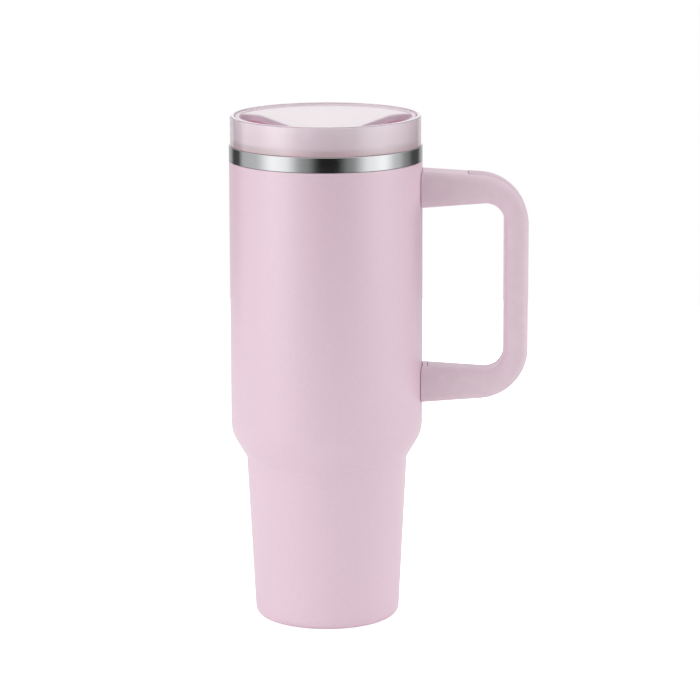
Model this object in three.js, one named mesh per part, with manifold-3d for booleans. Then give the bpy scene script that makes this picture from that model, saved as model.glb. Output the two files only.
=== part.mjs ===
// Insulated tumbler, about 1.2 litres, with a push-in lid whose cover turns, and a side handle.
// Millimetres, +Z up. The origin is the centre of the foot pad's underside, on the cup's axis, and the handle
// points along +X. The cup is two thin steel walls with a vacuum between them. The lid is a clear ring that
// plugs the mouth, and its hollow cover turns 50 degrees either way: one way uncovers the drinking slot, the
// other the straw hole.
import * as THREE from "three";
import { mergeVertices } from "three/addons/utils/BufferGeometryUtils.js";
import Module from "manifold-3d";

const wasm = await Module();
wasm.setup();

// ---------------------------------------------------------------- driving dimensions
const ROUND = 36; // flats around a large turned piece
const SMALL_ROUND = 18; // flats around a small turned piece
const GAP = 0.3; // clearance between pieces that fit round each other
const STACK_GAP = 0.1; // clearance between pieces that lie on each other

const SHEET = 0.5; // steel thickness of both walls
const WALL_BUILD = 3.7; // outside of the cup to its wetted surface
const BODY_R = 50.1; // outside of the upper cup
const SHOULDER_R = 18; // roll from the upper wall into the cone
const SHOULDER_Z = 104.6; // where the upper wall starts to roll inwards
const CONE_DEG = 30.6; // the cone under the shoulder, from the vertical
const CREASE = [42.05, 86]; // where the cone meets the lower cup
const FOOT_R = 37.9; // outside of the lower cup at the top of its bottom round
const FOOT_ROUND = 5; // bottom round of the lower cup
const FOOT_Z = 0.2; // lowest point of the steel
const BAND_Z = 243; // lower edge of the bare steel band
const LIP_Z = 250.7; // top of the drinking lip
const BAND_R = 50.2; // outside of the bare steel band
const HEM_R = FOOT_R - FOOT_ROUND; // where the outer wall turns up round the bottom pan
const PAN_R = HEM_R - 1.5;
const CAP_R = PAN_R - 1;
const PAD_R = CAP_R - 0.9;
const GETTER_X = 16;

const LID_R = 49.6; // clear ring of the lid
const LID_WALL = 2.3;
const LID_TOP = 266;
const LID_SEAT = LIP_Z + STACK_GAP; // underside of the lid's floor
const LID_FLOOR = 253.5; // top of the lid's floor
const PLUG_R = 44.3; // skirt that goes into the cup
const PLUG_Z = 238.5; // lower end of the skirt
const PORT_R = [32, 41]; // inner and outer radius of the drinking slot
const PORT_HALF_DEG = 13;
const STRAW_AT = 34; // distance of the straw hole from the axis
const STRAW_R = 5;
const SLOT_DEG = 250; // drinking slot in the lid's floor
const STRAW_DEG = 290; // straw hole in the lid's floor
const TURN_DEG = 50; // the cover's travel either way
const STOP_AT = 14; // the stop peg's distance from the axis
const STOP_R = 1.1;

const COVER_R = 46.7;
const COVER_IN = 44.6; // inside of the cover's upstanding lip
const COVER_TOP = 265.5;
const PLATEAU_Z = 265; // the raised finger plate
const SCOOP_Z = 260.2; // floor of the two scoops beside the plate
const COVER_SKIN = 1.8;
const COVER_BASE = [255, 256.6]; // bottom and top of the cover's lower disc
const SEAL = [253.9, 254.9]; // bottom and top of the seal under it
const STEM_R = 4;

const HANDLE_MID = 176.4; // height of the handle's middle
const HANDLE_HALF_W = 11; // half of its width
const GRIP_OUT = 104.7; // outer face of the upright
const OUTER_BEND = 26;
const INNER_BEND = 10;
const INNER_BEND_AT = [82.8, 34.1]; // centre of the inner bend: X, and Z from the middle
const OUTER_BEND_Z = 32.85; // centre of the outer bend, Z from the middle
const OUTER_SLOPE = 3.9; // fall of the arm's outer edge towards the bend, in degrees
const INNER_SLOPE = 4.1;
const STRIP = 1.5; // thickness of the soft strips
const GROOVE = 1.8; // depth of the channels they lie in
const OUTER_STRIP_X = 74; // where the outer strip starts on each arm
const INNER_STRIP_X = 53;
const SCREW_X = 57.5;

const rad = THREE.MathUtils.degToRad;

// ---------------------------------------------------------------- outlines
// Points on an arc round (x, y), from one angle to another, in degrees.
function arc(x, y, r, from, to, steps) {
  return Array.from({ length: steps + 1 }, (_, i) => {
    const a = rad(from + ((to - from) * i) / steps);
    return [x + r * Math.cos(a), y + r * Math.sin(a)];
  });
}

// A line of points moved sideways by d, to the right of its direction, with mitred corners.
function moved(line, d) {
  const normal = (p, q) => {
    const [dx, dy] = [q[0] - p[0], q[1] - p[1]];
    const l = Math.hypot(dx, dy);
    return [dy / l, -dx / l];
  };
  return line.map((p, i) => {
    const a = normal(line[Math.max(i - 1, 0)], line[Math.max(i, 1)]);
    const b = i < line.length - 1 ? normal(p, line[i + 1]) : a;
    const k = d / (1 + a[0] * b[0] + a[1] * b[1]);
    return [p[0] + (a[0] + b[0]) * k, p[1] + (a[1] + b[1]) * k];
  });
}

// The closed outline of a sheet of the given thickness that lies to the right of a line.
const sheet = (line, thickness) => [...line, ...moved(line, thickness).reverse()];

// A part of a ring between two radii, as a shape in plan.
function sector([r0, r1], middle, half, grow = 0) {
  const edge = (r) => half + THREE.MathUtils.radToDeg(grow / r);
  const outer = arc(0, 0, r1 + grow, middle - edge(r1), middle + edge(r1), 8);
  const inner = arc(0, 0, r0 - grow, middle + edge(r0), middle - edge(r0), 8);
  return new THREE.Shape([...outer, ...inner].map(([x, y]) => new THREE.Vector2(x, y)));
}

// ---------------------------------------------------------------- solids
// A turned piece: its profile is a list of [radius, height].
function turned(profile, flats = ROUND) {
  const points = profile.map(([r, z]) => new THREE.Vector2(Math.max(r, 0), z));
  const closed = profile[0][0] < 1e-6 ? points : [...points, points[0]];
  return new THREE.LatheGeometry(closed, flats).rotateX(Math.PI / 2);
}

const disc = (r, z0, z1, flats = ROUND) => turned([[0, z0], [r, z0], [r, z1], [0, z1]], flats);
const ring = (r0, r1, z0, z1, flats = ROUND) => turned([[r0, z0], [r1, z0], [r1, z1], [r0, z1]], flats);
const prism = (shape, z0, z1) =>
  new THREE.ExtrudeGeometry(shape, { depth: z1 - z0, bevelEnabled: false }).translate(0, 0, z0);

// A plate with its outline drawn in X and Z, as thick as twice the half width across Y.
function plate(outline, halfWidth, round = 0) {
  const shape = new THREE.Shape(outline.map(([x, z]) => new THREE.Vector2(x, z)));
  const depth = 2 * (halfWidth - round);
  return new THREE.ExtrudeGeometry(shape, {
    depth,
    bevelEnabled: round > 0,
    bevelThickness: round,
    bevelSize: round,
    bevelOffset: -round,
    bevelSegments: 3,
  })
    .rotateX(Math.PI / 2)
    .translate(0, depth / 2, 0);
}

const block = (x0, x1, halfY, z0, z1) =>
  new THREE.BoxGeometry(x1 - x0, 2 * halfY, z1 - z0).translate((x0 + x1) / 2, 0, (z0 + z1) / 2);

function toSolid(geometry) {
  const bare = geometry.index ? geometry.toNonIndexed() : geometry.clone();
  bare.deleteAttribute("normal");
  bare.deleteAttribute("uv");
  const merged = mergeVertices(bare, 1e-3);
  return new wasm.Manifold(
    new wasm.Mesh({
      numProp: 3,
      vertProperties: merged.attributes.position.array,
      triVerts: new Uint32Array(merged.index.array),
    }),
  );
}

function toGeometry(solid) {
  const { vertProperties, triVerts } = solid.getMesh();
  const geometry = new THREE.BufferGeometry();
  geometry.setAttribute("position", new THREE.BufferAttribute(new Float32Array(vertProperties), 3));
  geometry.setIndex(new THREE.BufferAttribute(new Uint32Array(triVerts), 1));
  geometry.computeVertexNormals();
  return geometry;
}

const less = (solid, ...tools) => tools.reduce((s, t) => s.subtract(toSolid(t)), solid);
const plus = (solid, ...others) => others.reduce((s, t) => s.add(toSolid(t)), solid);

// ---------------------------------------------------------------- materials
const material = (color, roughness, metalness = 0, extra = {}) =>
  new THREE.MeshStandardMaterial({ color, roughness, metalness, ...extra });
const powderCoat = material(0xe3c4d2, 0.5);
const steel = material(0xc6c7c9, 0.22, 1);
const handlePlastic = material(0xdcc3cf, 0.5);
const softGrip = material(0xd9b9ca, 0.75);
const clearTint = material(0xe2cbd6, 0.12, 0, { transparent: true, opacity: 0.55 });
const silicone = material(0xd79db4, 0.6);
const padRubber = material(0xcbb3bf, 0.8);
const getterMetal = material(0x6f6a66, 0.7, 1);
const solderGlass = material(0x5b6168, 0.2);

const tumbler = new THREE.Group();

function piece(name, geometry, look) {
  const mesh = new THREE.Mesh(geometry, look);
  mesh.name = name;
  tumbler.add(mesh);
  return mesh;
}

// ---------------------------------------------------------------- cup
// The cup's outside from a given height down to another on the lower cup, moved inwards by an inset.
function cupWall(top, bottom, inset) {
  const taper = (CREASE[0] - FOOT_R) / (CREASE[1] - FOOT_Z - FOOT_ROUND);
  const line = [
    [BODY_R, top],
    ...arc(BODY_R - SHOULDER_R, SHOULDER_Z, SHOULDER_R, 0, -CONE_DEG, 4),
    CREASE,
    [CREASE[0] - taper * (CREASE[1] - bottom), bottom],
  ];
  return moved(line, inset);
}

function outerShell() {
  const hemRound = 0.7;
  const hemTop = 3;
  const line = [
    ...cupWall(BAND_Z - GAP, FOOT_Z + FOOT_ROUND + 0.5, 0),
    ...arc(HEM_R, FOOT_Z + FOOT_ROUND, FOOT_ROUND, -4, -90, 4),
    ...arc(HEM_R, FOOT_Z + hemRound, hemRound, -120, -180, 2),
    [HEM_R - hemRound, hemTop],
  ];
  return turned(sheet(line, SHEET).reverse());
}

// The wetted wall, rolled over at the top into the lip and the bare band that hides the outer wall's end.
function innerLiner() {
  const floorZ = 9.5;
  const floorRound = 6;
  const lipIn = 1.2;
  const lipOut = 0.8;
  const wall = cupWall(LIP_Z - lipIn, floorZ + floorRound, WALL_BUILD);
  const [footR] = wall[wall.length - 1];
  const line = [
    [BAND_R, BAND_Z],
    ...arc(BAND_R - lipOut, LIP_Z - lipOut, lipOut, 0, 90, 3),
    ...arc(wall[0][0] + lipIn, LIP_Z - lipIn, lipIn, 90, 180, 4),
    ...wall.slice(1, -1),
    ...arc(footR - floorRound, floorZ + floorRound, floorRound, 0, -90, 3),
    [0, floorZ],
  ];
  return turned(sheet(line, -SHEET));
}

// The pan that closes the vacuum space, with the pumping hole in its middle.
const shellBottom = () =>
  turned([
    [PAN_R - SHEET, 1.4], [PAN_R, 1.4], [PAN_R, 5], [7, 5], [5.6, 4], [1.5, 4],
    [1.5, 3.5], [5.8, 3.5], [7.2, 4.5], [PAN_R - SHEET, 4.5],
  ]);

// The thin cap that hides the pumping hole, pressed into the pan.
const baseCap = () =>
  turned([
    [0, 1.1], [CAP_R - 0.3, 1.1], [CAP_R, 1.4], [CAP_R, 2.2],
    [CAP_R - SHEET, 2.2], [CAP_R - SHEET, 1.6], [0, 1.6],
  ]);

const footPad = () => turned([[0, 0], [PAD_R - 0.5, 0], [PAD_R, 0.5], [PAD_R, 1], [0, 1]]);

// The bead of solder glass that closes the pumping hole.
const sealBead = () =>
  turned([[0, 2.3], [2, 2.4], [3, 2.9], [3, 3.4], [1.2, 3.4], [1.2, 4.3], [0, 4.5]], SMALL_ROUND);

// A bent strip that holds the getter tablet down on the pan.
function getterClip() {
  const line = [[-8, 5.6], [-4, 5.6], [-3.2, 7.9], [3.2, 7.9], [4, 5.6], [8, 5.6]];
  return plate(sheet(line, 0.4).map(([x, z]) => [x + GETTER_X, z]), 2.5);
}

piece("outer_shell", outerShell(), powderCoat);
piece("inner_liner", innerLiner(), steel);
piece("shell_bottom", shellBottom(), steel);
piece("seal_bead", sealBead(), solderGlass);
piece("getter", disc(2.6, 5.2, 7.2, SMALL_ROUND).translate(GETTER_X, 0, 0), getterMetal);
piece("getter_clip", getterClip(), steel);
piece("base_cap", baseCap(), steel);
piece("foot_pad", footPad(), padRubber);

// ---------------------------------------------------------------- handle
// An edge of the handle in X and Z, from one root to the other: a sloping arm that starts at a given X, the
// bend's arc, and the same again below the middle.
function armsRound(bend, startX, slope) {
  const start = [startX, bend[0][1] + (bend[0][0] - startX) * Math.tan(rad(slope))];
  const upper = [start, ...bend];
  const lower = upper.map(([x, z]) => [x, -z]).reverse();
  return [...upper, ...lower].map(([x, z]) => [x, z + HANDLE_MID]);
}

// The edge in the palm and the edge round the finger gap, both moved into the plastic by d.
function outerEdge(startX, d) {
  const bend = arc(GRIP_OUT - OUTER_BEND, OUTER_BEND_Z, OUTER_BEND - d, 90 - OUTER_SLOPE, 0, 8);
  return armsRound(bend, startX, OUTER_SLOPE);
}
const innerEdge = (startX, d) =>
  armsRound(arc(...INNER_BEND_AT, INNER_BEND + d, 90 + INNER_SLOPE, 0, 6), startX, -INNER_SLOPE);

const outerBand = (startX, d0, d1) => [...outerEdge(startX, d0), ...outerEdge(startX, d1).reverse()];
const innerBand = (startX, d0, d1) => [...innerEdge(startX, d0), ...innerEdge(startX, d1).reverse()];

const OUTER_STRIP_HALF = 6.5;
const INNER_STRIP_HALF = 6;
const POCKET = { x: 64.5, halfY: 7, z0: 225.2, z1: 233 }; // hollow in the upper arm's root
const TONGUE = { x: 63, halfY: 5, z0: 226.2, z1: 229.2 }; // the bracket's threaded tongue
const HEAD_SEAT = 223; // the screw head bears here, under the upper arm's pocket
const HEAD_R = 3.4;
const SHANK_R = 1.7;

const drilled = (r, z0, z1) => disc(r, z0, z1, SMALL_ROUND).translate(SCREW_X, 0, 0);
const flipped = (geometry) => {
  // The same piece for the lower arm: a half turn about the X direction at the handle's middle.
  return geometry.translate(0, 0, -HANDLE_MID).rotateX(Math.PI).translate(0, 0, HANDLE_MID);
};

function handleFrame() {
  const rootX = 44;
  const body = plate([...outerEdge(rootX, 0), ...innerEdge(rootX, 0).reverse()].reverse(), HANDLE_HALF_W, 3);
  const hollows = () => [
    block(40, POCKET.x, POCKET.halfY, POCKET.z0, POCKET.z1),
    drilled(SHANK_R + 0.5, 210, POCKET.z0 + 1),
    drilled(HEAD_R + GAP, 210, HEAD_SEAT),
  ];
  return less(
    toSolid(body),
    disc(BODY_R + GAP, 100, 250),
    plate(outerBand(OUTER_STRIP_X - GAP, -2, GROOVE).reverse(), OUTER_STRIP_HALF + GAP),
    plate(innerBand(INNER_STRIP_X - GAP, -2, GROOVE), INNER_STRIP_HALF + GAP),
    ...hollows(),
    ...hollows().map(flipped),
  );
}

// A stamped steel bracket, welded to the outer wall: a curved saddle with a thick threaded tongue.
function bracket() {
  const saddle = toSolid(ring(BODY_R + GAP, BODY_R + GAP + 1.2, POCKET.z0 + 0.4, POCKET.z1 - 0.4))
    .intersect(toSolid(block(40, 60, POCKET.halfY - 0.5, POCKET.z0, POCKET.z1)));
  const tongue = less(
    toSolid(block(BODY_R - 1, TONGUE.x, TONGUE.halfY, TONGUE.z0, TONGUE.z1)),
    disc(BODY_R + GAP + 0.2, 200, 250),
  );
  return toGeometry(less(saddle.add(tongue), drilled(SHANK_R + GAP, 220, 240)));
}

// An M4 pan-head screw that stands head down, with a cross recess left as a square socket.
function screw() {
  const head = HEAD_SEAT - 2;
  const turnedPart = turned(
    [[0, head], [HEAD_R - 0.8, head], [HEAD_R, head + 0.8], [HEAD_R, HEAD_SEAT - STACK_GAP],
      [SHANK_R, HEAD_SEAT - STACK_GAP], [SHANK_R, 230.4], [SHANK_R - 0.6, 231], [0, 231]],
    SMALL_ROUND,
  ).translate(SCREW_X, 0, 0);
  const socket = block(SCREW_X - 1, SCREW_X + 1, 1, head - 1, head + 1.2);
  return toGeometry(less(toSolid(turnedPart), socket));
}

piece("handle_frame", toGeometry(handleFrame()), handlePlastic);
piece("grip_outer", plate(outerBand(OUTER_STRIP_X, 0, STRIP).reverse(), OUTER_STRIP_HALF), softGrip);
piece("grip_inner", plate(innerBand(INNER_STRIP_X, 0, STRIP), INNER_STRIP_HALF), softGrip);
piece("bracket_upper", bracket(), steel);
piece("bracket_lower", flipped(bracket()), steel);
piece("screw_upper", screw(), steel);
piece("screw_lower", flipped(screw()), steel);

// ---------------------------------------------------------------- lid
const GASKET = [241.9, 247.8]; // bottom and top of the sealing ring
const PLUG_SKIN = 2;
const GROMMET_R = STRAW_R + 1.5;
const O_RING_SEAT = { r: 6.2, z: 251.9 };

const atStraw = (geometry, deg) =>
  geometry.translate(STRAW_AT * Math.cos(rad(deg)), STRAW_AT * Math.sin(rad(deg)), 0);

// Clear ring, floor and plug skirt in one moulding, with the two openings, the stem's hole and the stop peg.
function lidBody() {
  const inner = LID_R - LID_WALL;
  const profile = [
    [0, LID_SEAT], [PLUG_R - PLUG_SKIN, LID_SEAT], [PLUG_R - PLUG_SKIN, PLUG_Z], [PLUG_R - 0.8, PLUG_Z],
    [45.5, PLUG_Z + 1.4], [45.5, GASKET[0] - GAP], [PLUG_R, GASKET[0] - GAP], [PLUG_R, GASKET[1] + GAP],
    [45.8, GASKET[1] + GAP], [45.8, LID_SEAT], [LID_R - 0.3, LID_SEAT], [LID_R, LID_SEAT + 0.3],
    ...arc(LID_R - 0.9, LID_TOP - 0.9, 0.9, 0, 90, 3),
    ...arc(inner + 0.5, LID_TOP - 0.5, 0.5, 90, 180, 2),
    [inner, LID_FLOOR], [0, LID_FLOOR],
  ];
  const solid = less(
    toSolid(turned(profile)),
    disc(STEM_R + 0.4, 240, 260, SMALL_ROUND),
    disc(O_RING_SEAT.r, O_RING_SEAT.z, 260, SMALL_ROUND),
    prism(sector(PORT_R, SLOT_DEG, PORT_HALF_DEG), 240, 260),
    atStraw(disc(GROMMET_R + GAP, 240, 260, SMALL_ROUND), STRAW_DEG),
  );
  return plus(solid, disc(STOP_R, LID_FLOOR - 0.5, COVER_BASE[1] - GAP, 16).translate(0, STOP_AT, 0));
}

const lidGasket = () =>
  turned([
    [44.6, GASKET[0]], [45.2, GASKET[0]], [46.1, 242.9], [46.1, 243.3], [45.3, 243.9], [45.3, 245.2],
    [46.1, 245.8], [46.1, 246.2], [45.3, 246.8], [45.3, GASKET[1]], [44.6, GASKET[1]],
  ]);

const strawGrommet = () =>
  turned([
    [GROMMET_R - 2.3, 249.2], [GROMMET_R + 1.2, 249.2], [GROMMET_R + 1.2, LID_SEAT - GAP],
    [GROMMET_R, LID_SEAT - GAP], [GROMMET_R, LID_FLOOR - STACK_GAP], [GROMMET_R - 1.9, LID_FLOOR - STACK_GAP],
    [GROMMET_R - 2.3, LID_FLOOR - 0.8],
  ], SMALL_ROUND);

const oRing = () => turned(arc(5.2, O_RING_SEAT.z + 0.8, 0.7, 0, 315, 7), SMALL_ROUND);

piece("lid_body", toGeometry(lidBody()), clearTint);
piece("lid_gasket", lidGasket(), silicone);
piece("straw_grommet", atStraw(strawGrommet(), STRAW_DEG), silicone);
piece("stem_o_ring", oRing(), silicone);

// ---------------------------------------------------------------- turning cover
// The raised finger plate in plan: as wide as the cover behind, and narrowed towards -Y by the two scoops.
// Each scoop has a short back edge that starts on the lip, a rounded corner and a straight flank.
function fingerPlate(inset) {
  const backY = 9.5 + inset; // where the scoop's back edge starts on the lip
  const [cornerX, cornerY] = [37 - inset, 12 + inset];
  const tipX = 15.5 - inset; // half the width between the flanks at the front lip
  const back = Math.asin(backY / COVER_IN);
  const tip = Math.acos(tipX / COVER_IN);
  const shape = new THREE.Shape();
  shape.absarc(0, 0, COVER_IN, back, Math.PI - back, false);
  shape.quadraticCurveTo(-cornerX, cornerY, -cornerX + 4, cornerY - 10);
  shape.absarc(0, 0, COVER_IN, Math.PI + tip, 2 * Math.PI - tip, false);
  shape.lineTo(cornerX - 4, cornerY - 10);
  shape.quadraticCurveTo(cornerX, cornerY, COVER_IN * Math.cos(back), backY);
  return shape;
}

const coverSlot = (grow, z0, z1) => prism(sector(PORT_R, SLOT_DEG - TURN_DEG, PORT_HALF_DEG, grow), z0, z1);
const coverHole = (grow, z0, z1) => atStraw(disc(STRAW_R + grow, z0, z1, SMALL_ROUND), STRAW_DEG + TURN_DEG);

// The moulding seen from above: lip, finger plate and scoops, one skin thick, with a short spout round each
// opening.
function coverTop() {
  const spout = 1.3;
  const seat = COVER_BASE[1] + STACK_GAP;
  const underScoop = SCOOP_Z - COVER_SKIN;
  const wall = turned([
    [0, 254.6], [COVER_R - 0.4, 254.6], [COVER_R, 255],
    ...arc(COVER_R - 0.6, COVER_TOP - 0.6, 0.6, 0, 90, 2),
    ...arc(COVER_IN + 0.5, COVER_TOP - 0.5, 0.5, 90, 180, 2),
    [COVER_IN, PLATEAU_Z], [0, PLATEAU_Z],
  ]);
  const plateBlock = prism(fingerPlate(0), SCOOP_Z - 1, PLATEAU_Z + 2);
  const scoops = less(toSolid(disc(COVER_IN, SCOOP_Z, PLATEAU_Z + 1)), plateBlock);
  const hollow = less(
    toSolid(disc(COVER_IN, seat - 0.5, underScoop)),
    coverSlot(spout, seat, underScoop + 1),
    coverHole(spout, seat, underScoop + 1),
  );
  return less(
    toSolid(wall).subtract(scoops).subtract(hollow),
    disc(COVER_IN, 250, seat),
    prism(fingerPlate(COVER_SKIN), underScoop - 0.5, PLATEAU_Z - COVER_SKIN),
    coverSlot(0, 250, 270),
    coverHole(0, 250, SCOOP_Z + 0.3),
  );
}

// The disc that closes the cover from below and carries the stem it turns on. Its curved slot runs over the
// stop peg.
function coverBase() {
  const [z0, z1] = COVER_BASE;
  const clip = { r: 3.2, z0: 248.8, z1: 250.5 };
  const profile = [
    [0, 246.8], [STEM_R - 0.6, 246.8], [STEM_R, 247.4], [STEM_R, clip.z0],
    [clip.r, clip.z0], [clip.r, clip.z1], [STEM_R, clip.z1],
    [STEM_R, z0], [COVER_IN - GAP, z0], [COVER_IN - GAP, z1], [0, z1],
  ];
  const play = 1 + THREE.MathUtils.radToDeg(STOP_R / STOP_AT);
  const stopSlot = sector([STOP_AT - STOP_R - GAP, STOP_AT + STOP_R + GAP], 90, TURN_DEG + play);
  return less(
    toSolid(turned(profile)),
    coverSlot(0, z0 - 2, z1 + 2),
    coverHole(0, z0 - 2, z1 + 2),
    prism(stopSlot, z0 - 1, z1 + 1),
  );
}

const coverSeal = () =>
  less(toSolid(ring(17, COVER_IN - 0.6, ...SEAL)), coverSlot(0.4, 250, 260), coverHole(0.4, 250, 260));

// An open clip that snaps into the stem's neck under the lid's floor.
const stemClip = () =>
  less(toSolid(ring(3.5, 7.5, 249, 250.3, SMALL_ROUND)), block(-10, 0, 2.6, 248, 252));

piece("cover_top", toGeometry(coverTop()), clearTint);
piece("cover_base", toGeometry(coverBase()), clearTint);
piece("cover_seal", toGeometry(coverSeal()), silicone);
piece("stem_clip", toGeometry(stemClip()), clearTint);

export default tumbler;
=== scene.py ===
"""An insulated tumbler with its lid and side handle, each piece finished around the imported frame."""
import math

import bmesh
import bpy
from mathutils import Matrix, Vector


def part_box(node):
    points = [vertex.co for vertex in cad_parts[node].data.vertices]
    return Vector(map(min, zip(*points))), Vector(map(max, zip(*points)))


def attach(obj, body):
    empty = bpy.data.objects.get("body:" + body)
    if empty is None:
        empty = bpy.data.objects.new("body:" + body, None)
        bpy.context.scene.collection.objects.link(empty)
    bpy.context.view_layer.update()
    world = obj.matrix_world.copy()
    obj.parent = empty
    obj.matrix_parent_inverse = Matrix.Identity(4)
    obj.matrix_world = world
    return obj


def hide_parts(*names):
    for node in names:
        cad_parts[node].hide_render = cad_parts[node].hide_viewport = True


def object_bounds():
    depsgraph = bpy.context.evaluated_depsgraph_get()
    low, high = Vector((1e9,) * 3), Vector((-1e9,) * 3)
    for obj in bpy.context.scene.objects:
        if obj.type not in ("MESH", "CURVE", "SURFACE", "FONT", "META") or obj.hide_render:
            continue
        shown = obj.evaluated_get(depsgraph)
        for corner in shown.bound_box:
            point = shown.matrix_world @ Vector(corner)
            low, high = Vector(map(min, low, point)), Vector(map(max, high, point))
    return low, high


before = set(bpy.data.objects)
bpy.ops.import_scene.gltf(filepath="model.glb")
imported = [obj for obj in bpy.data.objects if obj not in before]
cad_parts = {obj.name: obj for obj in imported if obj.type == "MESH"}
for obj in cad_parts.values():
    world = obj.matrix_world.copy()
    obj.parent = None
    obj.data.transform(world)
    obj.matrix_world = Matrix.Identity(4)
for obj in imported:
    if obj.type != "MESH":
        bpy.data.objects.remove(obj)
cad_low, cad_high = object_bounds()


# ------------------------------------------------------------ camera
# A long lens a little under two metres away, looking slightly down, so that the cup's sides stay nearly
# upright and its round mouth is a narrow oval.
AIM = Vector((0.0123, 0, cad_high.z * 0.5335))
DISTANCE = 1.831
PITCH = math.radians(11.5)
ROLL = math.radians(-0.14)

scene = bpy.context.scene
camera = bpy.data.objects.new("camera", bpy.data.cameras.new("camera"))
camera.data.lens = 180
camera.data.sensor_width = 36
camera.data.clip_end = 50
place = AIM + DISTANCE * Vector((0, -math.cos(PITCH), math.sin(PITCH)))
tilt = Matrix.Rotation(math.pi / 2 - PITCH, 4, "X") @ Matrix.Rotation(ROLL, 4, "Z")
camera.matrix_world = Matrix.Translation(place) @ tilt
scene.collection.objects.link(camera)
scene.camera = camera
scene.view_settings.view_transform = "Standard"


# ------------------------------------------------------------ studio
# A white paper sweep and two tall softboxes, one at each side of the camera, with black card between them
# and behind them. The room is a soft gradient round the object, so that polished steel shows bright and dark
# stripes.
def linear(code, alpha=1.0):
    """A colour written as sRGB hex, as linear light."""
    parts = [int(code[i : i + 2], 16) / 255 for i in (1, 3, 5)]
    return (*[c / 12.92 if c <= 0.04045 else ((c + 0.055) / 1.055) ** 2.4 for c in parts], alpha)


def add(tree, kind, settings=None, **inputs):
    """Adds a node. Inputs are values or sockets, named with _ for a space, or numbered as in i0."""
    node = tree.nodes.new(kind)
    for name, value in (settings or {}).items():
        setattr(node, name, value)
    for name, value in inputs.items():
        key = int(name[1:]) if name[0] == "i" and name[1:].isdigit() else name.replace("_", " ")
        if isinstance(value, bpy.types.NodeSocket):
            tree.links.new(value, node.inputs[key])
        else:
            node.inputs[key].default_value = value
    return node


def ramp(tree, factor, stops, interpolation="LINEAR"):
    """A colour ramp over grey levels or colours, as a list of (place, level)."""
    node = add(tree, "ShaderNodeValToRGB", Fac=factor)
    node.color_ramp.interpolation = interpolation
    points = node.color_ramp.elements
    while len(points) < len(stops):
        points.new(1.0)
    for point, (position, level) in zip(points, stops):
        point.position = position
        point.color = level if isinstance(level, tuple) else (level, level, level, 1)
    return node.outputs["Color"]


def surface(name, **settings):
    """A new Principled material: returns the material, its node tree and the shader."""
    made = bpy.data.materials.new(name)
    made.use_nodes = True
    shader = made.node_tree.nodes["Principled BSDF"]
    for key, value in settings.items():
        shader.inputs[key.replace("_", " ")].default_value = value
    return made, made.node_tree, shader


# Brightness of the room by the angle round Z from the camera's side, in degrees: negative is to the left.
ROOM = [(-180, 0.62), (-172, 0.6), (-162, 0.32), (-152, 0.32), (-140, 0.04), (-126, 0.04), (-114, 0.42),
        (-92, 0.46), (-65, 0.97), (-52, 0.9), (-26, 0.26), (-6, 0.004), (13, 0.004), (30, 0.21), (54, 0.82),
        (72, 0.98), (94, 0.48), (112, 0.2), (126, 0.05), (142, 0.05), (154, 0.32), (162, 0.32), (172, 0.6),
        (180, 0.62)]
CEILING = 0.74
REFLECTED = 1.75
LIT = 1.08

room = bpy.data.worlds.new("studio")
room.use_nodes = True
scene.world = room
tree = room.node_tree
tree.nodes.clear()
where = add(tree, "ShaderNodeTexCoord").outputs["Generated"]
ray = add(tree, "ShaderNodeSeparateXYZ", Vector=where).outputs
front = add(tree, "ShaderNodeMath", {"operation": "MULTIPLY"}, i0=ray["Y"], i1=-1.0).outputs[0]
turn = add(tree, "ShaderNodeMath", {"operation": "ARCTAN2"}, i0=ray["X"], i1=front).outputs[0]
share = add(tree, "ShaderNodeMath", {"operation": "MULTIPLY_ADD"}, i0=turn, i1=0.5 / math.pi,
            i2=0.5).outputs[0]
walls = ramp(tree, share, [(angle / 360 + 0.5, level) for angle, level in ROOM], "EASE")
height = add(tree, "ShaderNodeMath", {"operation": "MULTIPLY_ADD"}, i0=ray["Z"], i1=0.5, i2=0.5).outputs[0]
overhead = ramp(tree, height, [(0.0, 0.0), (0.62, 0.0), (0.86, 1.0)], "EASE")
room_light = add(tree, "ShaderNodeMix", {"data_type": "RGBA"}, i0=overhead, i6=walls,
                 i7=(CEILING, CEILING, CEILING, 1)).outputs[2]
paths = add(tree, "ShaderNodeLightPath").outputs
strength = add(tree, "ShaderNodeMath", {"operation": "MULTIPLY_ADD"}, i0=paths["Is Diffuse Ray"],
               i1=LIT - REFLECTED, i2=REFLECTED).outputs[0]
lights = add(tree, "ShaderNodeBackground", Color=room_light, Strength=strength).outputs[0]
backdrop = add(tree, "ShaderNodeBackground", Color=linear("#ffffff"), Strength=1.0).outputs[0]
shown = add(tree, "ShaderNodeMixShader", Fac=paths["Is Camera Ray"], i1=lights, i2=backdrop).outputs[0]
add(tree, "ShaderNodeOutputWorld", Surface=shown)

# Matt white paper, which glows a little so that it stays as white as the backdrop.
paper, tree, shader = surface("paper sweep", Base_Color=linear("#f7f7f7"), Roughness=0.9,
                              Specular_IOR_Level=0.1, Emission_Color=linear("#ffffff"))
glow = add(tree, "ShaderNodeMath", {"operation": "MULTIPLY_ADD"},
           i0=add(tree, "ShaderNodeLightPath").outputs["Is Camera Ray"], i1=0.8, i2=0.1).outputs[0]
tree.links.new(glow, shader.inputs["Emission Strength"])
mesh = bmesh.new()
bmesh.ops.create_circle(mesh, cap_ends=True, segments=96, radius=0.9)
sweep = bpy.data.objects.new("floor", bpy.data.meshes.new("floor"))
mesh.to_mesh(sweep.data)
mesh.free()
sweep.data.materials.append(paper)
scene.collection.objects.link(sweep)

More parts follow.
